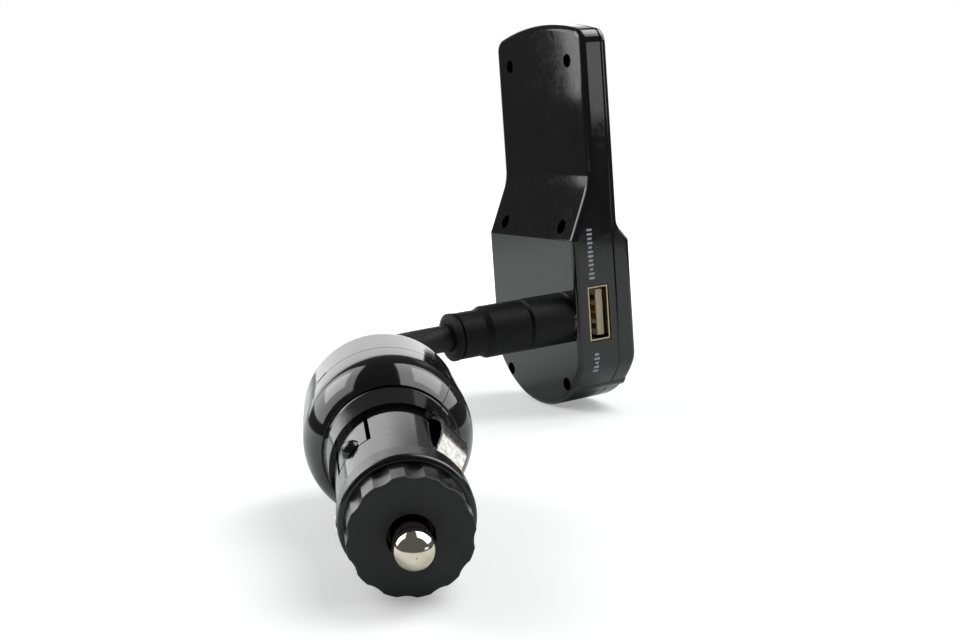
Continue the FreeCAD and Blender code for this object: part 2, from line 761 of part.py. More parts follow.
def make_neck_ferrule():
    """Turned ferrule: a spigot in the head's boss, a stepped barrel and a bevelled flange."""
    body = new_body("neck_ferrule")
    turn(body, [
        ("wire_hole_radius", "ferrule_spigot_end"), ("ferrule_spigot_radius", "ferrule_spigot_end"),
        ("ferrule_spigot_radius", "ferrule_start"), ("ferrule_radius", "ferrule_start"),
        ("ferrule_radius", "ferrule_barrel_end"), ("ferrule_tip_radius", "ferrule_tip_start"),
        ("ferrule_tip_radius", "ferrule_groove_start"), ("ferrule_groove_radius", "ferrule_groove_start"),
        ("ferrule_groove_radius", "ferrule_groove_end"), ("ferrule_flange_radius", "ferrule_groove_end"),
        ("ferrule_flange_radius", "ferrule_flange_end"), ("ferrule_bevel_radius", "ferrule_end"),
        ("neck_bore_radius", "ferrule_end"), ("neck_bore_radius", "ferrule_socket_end"),
        ("wire_hole_radius", "ferrule_socket_end"),
    ])
    return body


HEAD_OUTLINE = [
    ("-head_half_width", "head_bottom_rise"), ("head_half_width", "head_bottom_rise", "head_bottom_bend"),
    ("head_top_half_width", "head_side_top"), ("-head_top_half_width", "head_side_top", "head_top_bend"),
]
SCREW_SIDES = ("-screw_side", "screw_side")
LOW_SCREWS = [(side, "screw_low") for side in SCREW_SIDES]
HIGH_SCREWS = [(side, height) for height in ("screw_middle", "screw_high") for side in SCREW_SIDES]
KEYS = {
    "play_key": (0, "key_row", "main"),
    "previous_key": ("key_spread", "key_row", "side"),
    "next_key": ("-key_spread", "key_row", "side"),
    "channel_up_key": (0, "key_high", "side"),
    "channel_down_key": (0, "key_low", "side"),
}


def head_slab(body, name, start, length, step):
    """Slab of the head's outline with rounded corners and a side profile cut out of its upper half."""
    sketch = new_sketch(body, name + "_outline", "XZ_Plane", start)
    outline(sketch, HEAD_OUTLINE)
    slab = extrude(body, "Pad", sketch, length, reverse=True)
    top = edges_where(slab.Shape, lambda edge: runs_front_to_back(edge)
                      and abs(edge.CenterOfMass.z - size("head_side_top")) < NEAR)
    slab = dress(body, "Fillet", slab, top, Radius="corner_round")
    heel = edges_where(slab.Shape, lambda edge: runs_front_to_back(edge)
                       and abs(edge.CenterOfMass.z - size("head_bottom_rise")) < NEAR)
    dress(body, "Fillet", slab, heel, Radius="heel_round")
    profile = new_sketch(body, name + "_step", "YZ_Plane")
    outline(profile, step)
    return cut_across(body, profile)


def blend_step(body, base, crease, hollow, hollow_round, outer):
    """Rounds a step's crease and hollow and the rim that test outer picks, and bevels the parting."""
    for (depth, height), radius in ((hollow, hollow_round), (crease, "crease_round")):
        names = edges_where(base.Shape, lambda edge: runs_side_to_side(edge)
                            and abs(edge.CenterOfMass.y - depth) < NEAR
                            and abs(edge.CenterOfMass.z - height) < NEAR)
        base = dress(body, "Fillet", base, names, Radius=radius)

    rim = edges_where(base.Shape, lambda edge: outer(edge.BoundBox) and not runs_side_to_side(edge)
                      and not runs_front_to_back(edge))
    base = dress(body, "Fillet", base, rim, Radius="edge_round")
    seam = edges_where(base.Shape, lambda edge: abs(edge.BoundBox.YMin - size("parting")) < NEAR
                       and abs(edge.BoundBox.YMax - size("parting")) < NEAR)
    dress(body, "Chamfer", base, seam, Size="parting_bevel")


def make_rear_shell():
    """Rear half of the head: deep below, stepped in above, with six screw posts, the USB cut and the boss."""
    body = new_body("rear_shell")
    base = head_slab(body, "rear", None, "parting", [
        ("head_behind_rear", "rear_crease"), (0, "rear_crease"), ("rear_step", "rear_slope_top"),
        ("rear_step", "head_beyond"), ("head_behind_rear", "head_beyond"),
    ])
    blend_step(body, base, (0, size("rear_crease")), (size("rear_step"), size("rear_slope_top")),
               "rear_hollow", lambda box: box.YMax < size("parting") - NEAR)
    lower = new_sketch(body, "rear_lower_room", "XZ_Plane", "-parting")
    outline(lower, [("-inner_half_width", "inner_bottom_rise"),
                    ("inner_half_width", "inner_bottom_rise", "inner_bottom_bend"),
                    ("inner_half_width", "lower_room_top"), ("-inner_half_width", "lower_room_top")])
    extrude(body, "Pocket", lower, "lower_room_depth", reverse=True)
    upper = new_sketch(body, "rear_upper_room", "XZ_Plane", "-parting")
    outline(upper, [("-inner_half_width", "lower_room_top"), ("inner_half_width", "lower_room_top"),
                    ("inner_top_half_width", "inner_side_top"),
                    ("-inner_top_half_width", "inner_side_top", "inner_top_bend")])
    extrude(body, "Pocket", upper, "upper_room_depth", reverse=True)
    for name, centres, length in (("low", LOW_SCREWS, "low_post_length"),
                                  ("high", HIGH_SCREWS, "high_post_length")):
        posts = new_sketch(body, f"rear_{name}_posts", "XZ_Plane", "-parting")
        rings(posts, "post_radius", centres)
        extrude(body, "Pad", posts, length)
    for name, radius, depth in (("recess", "screw_recess_radius", "screw_seat"),
                                ("shank", "screw_hole_radius", "head_depth")):
        holes = new_sketch(body, "rear_screw_" + name, "XZ_Plane")
        rings(holes, radius, LOW_SCREWS + HIGH_SCREWS)
        extrude(body, "Pocket", holes, depth)
    usb = new_sketch(body, "rear_usb_cut", "YZ_Plane", "usb_cut_start")
    outline(usb, [("usb_near", "usb_low"), ("usb_far", "usb_low"),
                  ("usb_far", "usb_high"), ("usb_near", "usb_high")])
    extrude(body, "Pocket", usb, "usb_cut_length", reverse=True)
    boss = new_sketch(body, "rear_boss", "XZ_Plane", "-boss_root")
    rings(boss, "boss_radius", [("boss_side", "boss_height")])
    boss_pad = extrude(body, "Pad", boss, "boss_end")
    end = edges_where(boss_pad.Shape, lambda edge: edge.BoundBox.YMax < NEAR - size("boss_length"))
    dress(body, "Chamfer", boss_pad, end, Size="boss_chamfer")
    for name, radius, depth in (("boss_bore", "boss_bore_radius", "boss_bore_depth"),
                                ("wire_hole", "wire_hole_radius", "wire_hole_length")):
        bore = new_sketch(body, "rear_" + name, "XZ_Plane", "boss_length")
        rings(bore, radius, [("boss_side", "boss_height")])
        extrude(body, "Pocket", bore, depth)
    return body


def make_front_shell():
    """Front half of the head, with the window's recess and the holes for the keys."""
    body = new_body("front_shell")
    base = head_slab(body, "front", "-parting", "front_depth", [
        ("front_beyond", "front_crease"), ("head_depth", "front_crease"), ("front_thin", "front_slope_top"),
        ("front_thin", "head_beyond"), ("front_beyond", "head_beyond"),
    ])
    blend_step(body, base, (size("head_depth"), size("front_crease")),
               (size("front_thin"), size("front_slope_top")),
               "front_hollow", lambda box: box.YMin > size("parting") + NEAR)
    lower = new_sketch(body, "front_lower_room", "XZ_Plane", "-parting")
    outline(lower, [("-inner_half_width", "inner_bottom_rise"),
                    ("inner_half_width", "inner_bottom_rise", "inner_bottom_bend"),
                    ("inner_half_width", "front_room_top"), ("-inner_half_width", "front_room_top")])
    extrude(body, "Pocket", lower, "front_lower_depth")
    posts = new_sketch(body, "front_posts", "XZ_Plane", "-parting")
    rings(posts, "post_radius", LOW_SCREWS)
    extrude(body, "Pad", posts, "front_post_length", reverse=True)
    holes = new_sketch(body, "front_screw_holes", "XZ_Plane", "-parting")
    rings(holes, "screw_hole_radius", LOW_SCREWS + HIGH_SCREWS)
    extrude(body, "Pocket", holes, "screw_hole_in_front")
    recess = new_sketch(body, "window_recess", "XZ_Plane", "-front_thin")
    outline(recess, [("-recess_half", "recess_low"), ("recess_half", "recess_low"),
                     ("recess_half", "recess_high"), ("-recess_half", "recess_high")])
    sunk = extrude(body, "Pocket", recess, "window_recess_depth", reverse=True)
    corners = edges_where(sunk.Shape, lambda edge: runs_front_to_back(edge)
                          and abs(abs(edge.CenterOfMass.x) - size("recess_half")) < NEAR)
    dress(body, "Fillet", sunk, corners, Radius="window_corner")
    opening = new_sketch(body, "window_opening", "XZ_Plane", "-parting")
    outline(opening, [("-opening_half", "opening_low"), ("opening_half", "opening_low"),
                      ("opening_half", "opening_high"), ("-opening_half", "opening_high")])
    extrude(body, "Pocket", opening, "front_depth")
    for kind in ("main", "side"):
        key_holes = new_sketch(body, kind + "_key_holes", "XZ_Plane", "-parting")
        centres = [(x, z) for x, z, group in KEYS.values() if group == kind]
        rings(key_holes, kind + "_key_hole_radius", centres)
        extrude(body, "Pocket", key_holes, "head_depth")
    return body


def make_window():
    """Clear pane let into the front shell over the display."""
    body = new_body("display_window")
    sketch = new_sketch(body, "pane", "XZ_Plane", "-window_rear")
    outline(sketch, [("-window_half", "window_low"), ("window_half", "window_low"),
                     ("window_half", "window_high"), ("-window_half", "window_high")])
    pane = extrude(body, "Pad", sketch, "window_thickness", reverse=True)
    corners = edges_where(pane.Shape, runs_front_to_back)
    dress(body, "Fillet", pane, corners, Radius="window_corner")
    return body


def make_display():
    display = centred_box("display_module", (0, size("display_rear"), size("window_height")),
                          Length="display_width", Width="display_thickness", Height="display_tall")
    display.Label = "display_module"
    return display


def make_main_board():
    """Circuit board that carries the display, the USB socket and the switches, held round four posts."""
    body = new_body("main_board")
    sketch = new_sketch(body, "board", "XZ_Plane", "-board_rear")
    outline(sketch, [("-board_half_width", "board_bottom"), ("board_half_width", "board_bottom"),
                     ("board_half_width", "board_top"), ("-board_half_width", "board_top")])
    rings(sketch, "board_hole_radius", HIGH_SCREWS)
    extrude(body, "Pad", sketch, "board_thickness", reverse=True)
    return body


def make_usb_shell():
    """Folded steel shell of the USB socket, open at the housing's side."""
    outside = primitive("Box", "usb_outside", Length="usb_length", Width="usb_thickness", Height="usb_width")
    inside = primitive("Box", "usb_inside", Length="usb_bore_length", Width="usb_bore_thickness",
                       Height="usb_bore_width")
    outside.Placement.Base = Vector(size("usb_back"), size("usb_depth") - size("usb_thickness") / 2,
                                    size("usb_height") - size("usb_width") / 2)
    wall = size("usb_wall")
    inside.Placement.Base = outside.Placement.Base + Vector(-wall / 2, wall, wall)
    return cut_from("usb_shell", outside, inside)


def make_usb_tongue():
    """Plastic insert of the USB socket: a block at the back and the contact tongue."""
    back = size("usb_back") + size("usb_wall")
    block = centred_box("usb_block", (0, 0, size("usb_height")), Length="usb_block_length",
                        Width="usb_insert_thickness", Height="usb_insert_width")
    block.Placement.Base.x = back
    block.Placement.Base.y = size("usb_depth") - size("usb_insert_thickness") / 2
    tongue = centred_box("usb_contact_tongue", (0, 0, size("usb_height")), Length="usb_tongue_length",
                         Width="usb_tongue_thickness", Height="usb_tongue_width")
    tongue.Placement.Base.x = back
    tongue.Placement.Base.y = size("usb_depth") + size("usb_tongue_shift") - size("usb_tongue_thickness") / 2
    return fused("usb_tongue", [block, tongue])


def make_key(label, kind):
    """Round key with a flange that keeps it behind the front wall."""
    body = new_body(label)
    flange, cap = kind + "_key_flange_radius", kind + "_key_radius"
    turned = turn(body, [(0, "key_flange_rear"), (flange, "key_flange_rear"), (flange, "key_flange_front"),
                         (cap, "key_flange_front"), (cap, "key_top"), (0, "key_top")])
    rim = edges_where(turned.Shape, lambda edge: edge.BoundBox.YMin > size("key_top") - NEAR)
    dress(body, "Fillet", turned, rim, Radius="key_round")
    return body


def make_switches():
    """Push switches on the main board, one behind each key."""
    switches = []
    for name, (x, z, kind) in KEYS.items():
        case = centred_box(name + "_switch_case", (size(x), size("switch_rear"), size(z)),
                           Length="switch_width", Width="switch_height", Height="switch_width")
        top = Vector(size(x), size("switch_rear") + size("switch_height"), size(z))
        plunger = primitive("Cylinder", name + "_switch_plunger", Placement(top, FORWARD),
                            Radius="switch_plunger_radius", Height="switch_plunger_height")
        switches.append(fused(name + "_switch", [case, plunger]))
    return gathered("key_switches", switches)


def make_screws():
    """The six housing screws, sunk in their recesses."""
    screws = []
    for number, (x, z) in enumerate(LOW_SCREWS + HIGH_SCREWS, start=1):
        head = primitive("Cylinder", f"screw_head_{number}",
                         Placement(Vector(size(x), size("screw_head_front"), size(z)), FORWARD),
                         Radius="screw_head_radius", Height="screw_head_height")
        shank = primitive("Cylinder", f"screw_shank_{number}",
                          Placement(Vector(size(x), size("screw_seat"), size(z)), FORWARD),
                          Radius="screw_shank_radius", Height="screw_length")
        screws.append(fused(f"screw_{number}", [head, shank]))
    return gathered("housing_screws", screws)


def rounded_path(points, reaches):
    """Straight runs through points, and an arc at each inner point that starts a reach away from it."""
    edges = []
    bends = []
    start = points[0]
    for before, corner, after, reach in zip(points, points[1:], points[2:], reaches):
        incoming = (corner - before).normalize()
        outgoing = (after - corner).normalize()
        half_turn = incoming.getAngle(outgoing) / 2
        bend = reach / math.tan(half_turn)
        entry, leave = corner - incoming * reach, corner + outgoing * reach
        inward = (outgoing - incoming).normalize()
        middle = corner + inward * (bend / math.cos(half_turn) - bend)
        edges.append(Part.LineSegment(start, entry).toShape())
        edges.append(Part.Arc(entry, middle, leave).toShape())
        bends.append(bend)
        start = leave
    edges.append(Part.LineSegment(start, points[-1]).toShape())
    return Part.Wire(edges), bends


def make_gooseneck(plug_frame, head_frame):
    """Bendable neck from the plug's rear cap to the ferrule on the head."""
    def on_plug(distance):
        return plug_frame.multVec(Vector(0, distance, 0))

    def on_head(distance):
        return head_frame.multVec(Vector(size("boss_side"), -distance, size("boss_height")))

    points = [on_plug(size("neck_start")), on_plug(size("nipple_tip") + size("neck_first_run")),
              on_head(size("ferrule_end") + size("neck_last_run")),
              on_head(size("ferrule_socket_end") + size("neck_clearance"))]
    arc_reach = size("neck_arc_share") * (points[2] - points[1]).Length
    reaches = [min(arc_reach, size(run)) for run in ("neck_first_run", "neck_last_run")]
    path = doc.addObject("Part::Feature", "neck_path")
    path.Shape, bends = rounded_path(points, reaches)
    section = doc.addObject("Part::Circle", "neck_section")
    tie(section, Radius="neck_radius")
    along = points[1] - points[0]
    section.Placement = Placement(points[0], Rotation(Vector(0, 0, 1), along))
    neck = doc.addObject("Part::Sweep", "gooseneck")
    neck.Label = "gooseneck"
    neck.Sections = [section]
    neck.Spine = (path, [f"Edge{number + 1}" for number in range(len(path.Shape.Edges))])
    neck.Solid = True
    doc.recompute()
    expected = path.Shape.Length * math.pi * size("neck_radius") ** 2
    print("gooseneck", path.Shape.Length, "mm, bends", bends, "volume share", neck.Shape.Volume / expected)
    return neck


def along_plug(place, rotation=Rotation()):
    """Placement on the plug's axis, a distance behind the nose ring."""
    return Placement(Vector(0, place, 0), rotation)


nose_cap = make_nose_cap()
fuse_glass, fuse_caps = make_fuse()
board_corner = Vector(-size("plug_board_width") / 2, size("plug_board_front"),
                      -size("plug_board_thickness") / 2)
half_turn = Rotation(Vector(0, 1, 0), 180)
plug_pieces = [
    (nose_cap, along_plug(0, Rotation(Vector(0, 1, 0), size("flute_turn")))),
    (make_contact_pin(), Placement()),
    (fuse_glass, Placement()),
    (fuse_caps, Placement()),
    (make_pin_spring(), along_plug(size("spring_front") + size("spring_wire"), FORWARD)),
    (make_spring_seat(), along_plug(size("seat_front"), FORWARD)),
    (make_plug_shell("plug_shell_upper", True), Placement()),
    (make_plug_shell("plug_shell_lower", False), Placement()),
    (make_side_contact("side_contact_right"), Placement()),
    (make_side_contact("side_contact_left"), along_plug(0, half_turn)),
    (make_plug_rear_cap(), along_plug(0, Rotation(Vector(0, -1, 0), size("tongue_turn")))),
    (make_plug_board(), Placement(board_corner, Rotation())),
]
boss_place = Vector(size("boss_side"), 0, size("boss_height"))
head_pieces = [
    (make_rear_shell(), Placement()),
    (make_front_shell(), Placement()),
    (make_neck_ferrule(), Placement(boss_place, Rotation(Vector(0, 0, 1), 180))),
    (make_window(), Placement()),
    (make_display(), None),
    (make_main_board(), Placement()),
    (make_usb_shell(), Placement()),
    (make_usb_tongue(), Placement()),
    (make_switches(), Placement()),
    (make_screws(), Placement()),
]
for key, (x, z, kind) in KEYS.items():
    head_pieces.append((make_key(key, kind), Placement(Vector(size(x), 0, size(z)), Rotation())))
doc.recompute()


def lowest(frame, pieces):
    """Lowest point of pieces that stand in a frame."""
    return min(frame_box(frame, piece, local).ZMin for piece, local in pieces)


def frame_box(frame, piece, local):
    shape = piece.Shape.copy()
    shape.Placement = frame.multiply(local or piece.Placement)
    return shape.optimalBoundingBox(False, False)


# The plug lies on its nose ring and its bulb, the head stands on its rounded end
ring_contact = size("ring_front") - size("ring_round")
tilt = math.degrees(math.atan2(size("bulb_radius") - size("ring_radius"), size("bulb_back") + ring_contact))
plug_turn = Rotation(Vector(1, 0, 0), tilt).multiply(Rotation(Vector(0, 1, 0), -size("plug_roll")))
plug_frame = Placement(plug_turn.multVec(Vector(0, -size("bulb_back"), 0)), plug_turn)
head_turn = Rotation(Vector(0, 0, 1), -size("head_yaw"))
head_turn = head_turn.multiply(Rotation(Vector(1, 0, 0), size("head_lean")))
head_frame = Placement(Vector(size("head_right"), size("head_behind"), 0), head_turn)
groups = ((plug_frame, plug_pieces), (head_frame, head_pieces))
for frame, pieces in groups:
    frame.Base.z -= lowest(frame, pieces)

# The origin is the middle of the whole part's footprint, on the table
boxes = [frame_box(frame, piece, local) for frame, pieces in groups for piece, local in pieces]
middle_x = (min(box.XMin for box in boxes) + max(box.XMax for box in boxes)) / 2
middle_y = (min(box.YMin for box in boxes) + max(box.YMax for box in boxes)) / 2
nodes = []
for frame, pieces in groups:
    frame.Base -= Vector(middle_x, middle_y, 0)
    for piece, local in pieces:
        piece.Placement = frame.multiply(local or piece.Placement)
        nodes.append(piece)
nodes.append(make_gooseneck(plug_frame, head_frame))
doc.recompute()

for item in doc.Objects:
    if "Invalid" in item.State or "Error" in item.State:
        raise ValueError(f"{item.Label} failed: {item.State}")
os.makedirs("parts", exist_ok=True)
for node in nodes:
    if node.Shape.isNull() or not node.Shape.isValid():
        raise ValueError(f"{node.Label} has no valid shape")
for node in nodes:
    node.Shape.exportStep(f"parts/{node.Label}.step")
print(len(nodes), "nodes written")
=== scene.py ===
import json
import math

import bmesh
import bpy
from mathutils import Matrix, Quaternion, Vector


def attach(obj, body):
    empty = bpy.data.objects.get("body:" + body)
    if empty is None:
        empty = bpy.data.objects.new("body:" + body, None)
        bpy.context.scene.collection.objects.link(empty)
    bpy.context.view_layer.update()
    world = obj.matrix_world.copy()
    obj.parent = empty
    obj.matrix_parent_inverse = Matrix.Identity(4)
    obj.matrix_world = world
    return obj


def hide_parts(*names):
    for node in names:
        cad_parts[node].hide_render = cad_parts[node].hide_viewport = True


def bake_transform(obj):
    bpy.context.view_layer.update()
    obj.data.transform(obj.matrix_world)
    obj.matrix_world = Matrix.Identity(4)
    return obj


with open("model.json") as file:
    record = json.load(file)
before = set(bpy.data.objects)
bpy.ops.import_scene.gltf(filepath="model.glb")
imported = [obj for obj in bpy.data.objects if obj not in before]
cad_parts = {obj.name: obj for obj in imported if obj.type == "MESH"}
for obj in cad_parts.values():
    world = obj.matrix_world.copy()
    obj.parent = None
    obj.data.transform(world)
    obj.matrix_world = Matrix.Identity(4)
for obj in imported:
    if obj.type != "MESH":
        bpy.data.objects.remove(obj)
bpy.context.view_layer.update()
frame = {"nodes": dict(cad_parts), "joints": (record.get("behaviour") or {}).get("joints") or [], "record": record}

# Car FM transmitter: glossy black plug, gooseneck and head on a white table.
# Lengths are in millimetres until they are scaled by MM, because the scene is in metres.
MM = 0.001


def mount(name):
    """Place and direction of one of the part's mounts."""
    found = next(item for item in frame["record"]["mounts"] if item["name"] == name)
    return Vector(found["pos_m"]), Vector(found["axis"]).normalized()


def press_axis(name):
    """Direction in which a key or the pin is pushed in."""
    found = next(item for item in frame["joints"] if item["name"] == name)
    return Vector(found["axis"]).normalized()


# Plug frame: Y runs back along the plug from the middle of the nose ring, X points at a side contact
RING_MIDDLE = 0.725
PLUG_ROLL = 44.2
NOSE_PLACE, PLUG_OUT = mount("plug_nose")
PLUG_PLACE = NOSE_PLACE + PLUG_OUT * RING_MIDDLE * MM
PLUG_TURN = (Matrix.Rotation(math.asin(-PLUG_OUT.z), 3, "X")
             @ Matrix.Rotation(-math.radians(PLUG_ROLL), 3, "Y")).to_euler()

# Head frame: X points out of the USB socket, Y out of the front face, Z up from the head's foot
USB_MOUTH = (20.0, 6.2, 24.8)
USB_PLACE, HEAD_X = mount("usb_socket")
HEAD_Y = -press_axis("play_key_press")
HEAD_Z = HEAD_X.cross(HEAD_Y)
HEAD_TURN = Matrix((HEAD_X, HEAD_Y, HEAD_Z)).transposed()
HEAD_PLACE = USB_PLACE - HEAD_TURN @ (Vector(USB_MOUTH) * MM)

# Camera at the photograph's angle on a full-frame sensor, its place given from the widest part of the bulb
BULB_MIDDLE = 35.9
BULB_PLACE = PLUG_PLACE - PLUG_OUT * BULB_MIDDLE * MM
CAMERA_SIDE = -15.9
CAMERA_BACK = -219.1
CAMERA_HEIGHT = 63.98
CAMERA_HEADING = 8.3
CAMERA_PITCH = -7.53
CAMERA_LENS = 48.29
SENSOR_WIDTH = 36
NEAREST = 0.01

# Sockets of the colour mix node
FACTOR, FIRST, SECOND, MIXED = 0, 6, 7, 2


def on_head(x, y, z):
    """World place of a point of the head frame."""
    return HEAD_PLACE + HEAD_TURN @ (Vector((x, y, z)) * MM)


def linear(code):
    """Linear colour from an sRGB hex value."""
    parts = [int(code[index:index + 2], 16) / 255 for index in (1, 3, 5)]
    straight = [part / 12.92 if part <= 0.04045 else ((part + 0.055) / 1.055) ** 2.4 for part in parts]
    return (*straight, 1.0)


def per_metre(width):
    """Pattern scale whose marks are about so many millimetres wide."""
    return 1000 / width


def add_node(tree, kind, inputs=None, **settings):
    """Adds a node with its settings, and links or sets each of its inputs."""
    made = tree.nodes.new(kind)
    for name, value in settings.items():
        setattr(made, name, value)
    for name, value in (inputs or {}).items():
        if isinstance(value, bpy.types.NodeSocket):
            tree.links.new(value, made.inputs[name])
        else:
            made.inputs[name].default_value = value
    return made


def new_material(name):
    """An empty material, its node tree and its object coordinates."""
    made = bpy.data.materials.new(name)
    made.use_nodes = True
    made.node_tree.nodes.clear()
    place = add_node(made.node_tree, "ShaderNodeTexCoord").outputs["Object"]
    return made, made.node_tree, place


def surface(tree, shader):
    add_node(tree, "ShaderNodeOutputMaterial", {"Surface": shader})


def spread(tree, value, low, high, bottom, top):
    """Value from low to high laid out from bottom to top."""
    return add_node(tree, "ShaderNodeMapRange", {"Value": value, "From Min": low, "From Max": high,
                                                 "To Min": bottom, "To Max": top}).outputs["Result"]


def on_plug(tree, place):
    """Plug-frame coordinates, in metres, of object coordinates."""
    local = add_node(tree, "ShaderNodeMapping", {"Vector": place, "Location": PLUG_PLACE,
                                                 "Rotation": PLUG_TURN}, vector_type="TEXTURE")
    return add_node(tree, "ShaderNodeSeparateXYZ", {"Vector": local.outputs["Vector"]})


def nose_face(tree, place):
    """How far a place on the nose cap belongs to its face or its bore."""
    local = on_plug(tree, place)
    middle = add_node(tree, "ShaderNodeCombineXYZ", {"X": local.outputs["X"], "Z": local.outputs["Z"]})
    away = add_node(tree, "ShaderNodeVectorMath", {0: middle.outputs["Vector"]}, operation="LENGTH")
    inside = spread(tree, away.outputs["Value"], NOSE_BORE * MM, (NOSE_BORE + 0.2) * MM, 1.0, 0.0)
    front = spread(tree, local.outputs["Y"], NOSE_POLISH_START * MM, NOSE_POLISH_END * MM, 1.0, 0.0)
    return add_node(tree, "ShaderNodeMath", {0: inside, 1: front}, operation="MAXIMUM").outputs["Value"]


def boss_side(tree, place):
    """How far a place on the rear shell belongs to the boss that stands out of it."""
    local = add_node(tree, "ShaderNodeMapping", {"Vector": place, "Location": HEAD_PLACE,
                                                 "Rotation": HEAD_TURN.to_euler()}, vector_type="TEXTURE")
    height = add_node(tree, "ShaderNodeSeparateXYZ", {"Vector": local.outputs["Vector"]}).outputs["Y"]
    return spread(tree, height, BOSS_START * MM, BOSS_END * MM, 0.0, 1.0)


def moulded(name, dark, light, polish, grain, depth, cloud=9.0, ior=1.5, level=0.5, seam=False, dull=None,
            face="#161617"):
    """Moulded plastic: two shades that drift into each other, an uneven polish and a fine surface grain.

    Polish is the lowest and highest roughness; grain, depth and cloud are in millimetres. Level is the
    strength of the gloss, lower where pores swallow light.
    With a seam, a hairline joint runs along the plug where its two half shells meet.
    Dull says where the moulding keeps the grit of an eroded tool, and face is its shade there.
    """
    made, tree, place = new_material(name)
    drift = add_node(tree, "ShaderNodeTexNoise", {"Vector": place, "Scale": per_metre(cloud), "Detail": 5.0})
    shade = add_node(tree, "ShaderNodeMix", {FACTOR: drift.outputs["Fac"], FIRST: linear(dark),
                                             SECOND: linear(light)}, data_type="RGBA")
    smear = add_node(tree, "ShaderNodeTexNoise", {"Vector": place, "Scale": per_metre(cloud / 3),
                                                  "Detail": 6.0, "Distortion": SMEAR_DRAG})
    gloss = spread(tree, smear.outputs["Fac"], *NOISE_RANGE, *polish)
    pits = add_node(tree, "ShaderNodeTexNoise", {"Vector": place, "Scale": per_metre(grain), "Detail": 2.0})
    relief = add_node(tree, "ShaderNodeBump", {"Height": pits.outputs["Fac"], "Distance": depth * MM,
                                               "Strength": 1.0})
    if seam:
        away = add_node(tree, "ShaderNodeMath", {0: on_plug(tree, place).outputs["Z"]}, operation="ABSOLUTE")
        groove = spread(tree, away.outputs["Value"], 0.0, SEAM_WIDTH * MM, 0.0, 1.0)
        relief = add_node(tree, "ShaderNodeBump", {"Height": groove, "Distance": SEAM_DEPTH * MM,
                                                   "Strength": 1.0, "Normal": relief.outputs["Normal"]})
    if dull:
        part = dull(tree, place)
        grit = add_node(tree, "ShaderNodeTexNoise", {"Vector": place, "Scale": per_metre(TOOL_GRIT),
                                                     "Detail": 3.0})
        shade = add_node(tree, "ShaderNodeMix", {FACTOR: part, FIRST: shade.outputs[MIXED],
                                                 SECOND: linear(face)}, data_type="RGBA")
        rough = spread(tree, grit.outputs["Fac"], *NOISE_RANGE, *DULL_POLISH)
        gloss = add_node(tree, "ShaderNodeMix", {FACTOR: part, 2: gloss, 3: rough}).outputs[0]
        level = add_node(tree, "ShaderNodeMix", {FACTOR: part, 2: level, 3: DULL_LEVEL}).outputs[0]
        relief = add_node(tree, "ShaderNodeBump", {"Height": grit.outputs["Fac"], "Distance": GRIT_DEPTH * MM,
                                                   "Strength": part, "Normal": relief.outputs["Normal"]})
    shader = add_node(tree, "ShaderNodeBsdfPrincipled", {
        "Base Color": shade.outputs[MIXED], "Roughness": gloss, "Normal": relief.outputs["Normal"],
        "IOR": ior, "Specular IOR Level": level})
    surface(tree, shader.outputs["BSDF"])
    return made


def plated(name, dark, light, polish, line, depth, stretch=(1.0, 1.0, 1.0), root=None):
    """Metal with fine drawing lines: line is their spacing in millimetres, stretch how they run.

    With a root, painted shade darkens the plate between two places along the plug, standing in for the shadow of a
    bore.
    """
    made, tree, place = new_material(name)
    along = add_node(tree, "ShaderNodeMapping", {"Vector": place, "Scale": stretch})
    lines = add_node(tree, "ShaderNodeTexNoise", {"Vector": along.outputs["Vector"], "Scale": per_metre(line),
                                                  "Detail": 4.0})
    shade = add_node(tree, "ShaderNodeMix", {FACTOR: lines.outputs["Fac"], FIRST: linear(dark),
                                             SECOND: linear(light)}, data_type="RGBA")
    gloss = spread(tree, lines.outputs["Fac"], *NOISE_RANGE, *polish)
    relief = add_node(tree, "ShaderNodeBump", {"Height": lines.outputs["Fac"], "Distance": depth * MM,
                                               "Strength": 1.0})
    # Painted shade: towards the root the plate darkens, standing in for the shadow inside the pin's bore
    if root:
        bore_shade = spread(tree, on_plug(tree, place).outputs["Y"], root[0] * MM, root[1] * MM, 0.0, 1.0)
        shade = add_node(tree, "ShaderNodeMix", {FACTOR: bore_shade, FIRST: shade.outputs[MIXED],
                                                 SECOND: linear(PAINTED_BORE_SHADE)}, data_type="RGBA")
    shader = add_node(tree, "ShaderNodeBsdfPrincipled", {
        "Base Color": shade.outputs[MIXED], "Roughness": gloss, "Normal": relief.outputs["Normal"],
        "Metallic": 1.0})
    surface(tree, shader.outputs["BSDF"])
    return made


def see_through(name, dark, light, polish, ior):
    """Clear moulding or glass, with faint smears that show only in its reflections."""
    made, tree, place = new_material(name)
    smear = add_node(tree, "ShaderNodeTexNoise", {"Vector": place, "Scale": per_metre(SMEAR_WIDTH),
                                                  "Detail": 5.0, "Distortion": SMEAR_DRAG})
    shade = add_node(tree, "ShaderNodeMix", {FACTOR: smear.outputs["Fac"], FIRST: linear(dark),
                                             SECOND: linear(light)}, data_type="RGBA")
    gloss = spread(tree, smear.outputs["Fac"], *NOISE_RANGE, *polish)
    shader = add_node(tree, "ShaderNodeBsdfPrincipled", {
        "Base Color": shade.outputs[MIXED], "Roughness": gloss, "Transmission Weight": 1.0, "IOR": ior})
    surface(tree, shader.outputs["BSDF"])
    return made


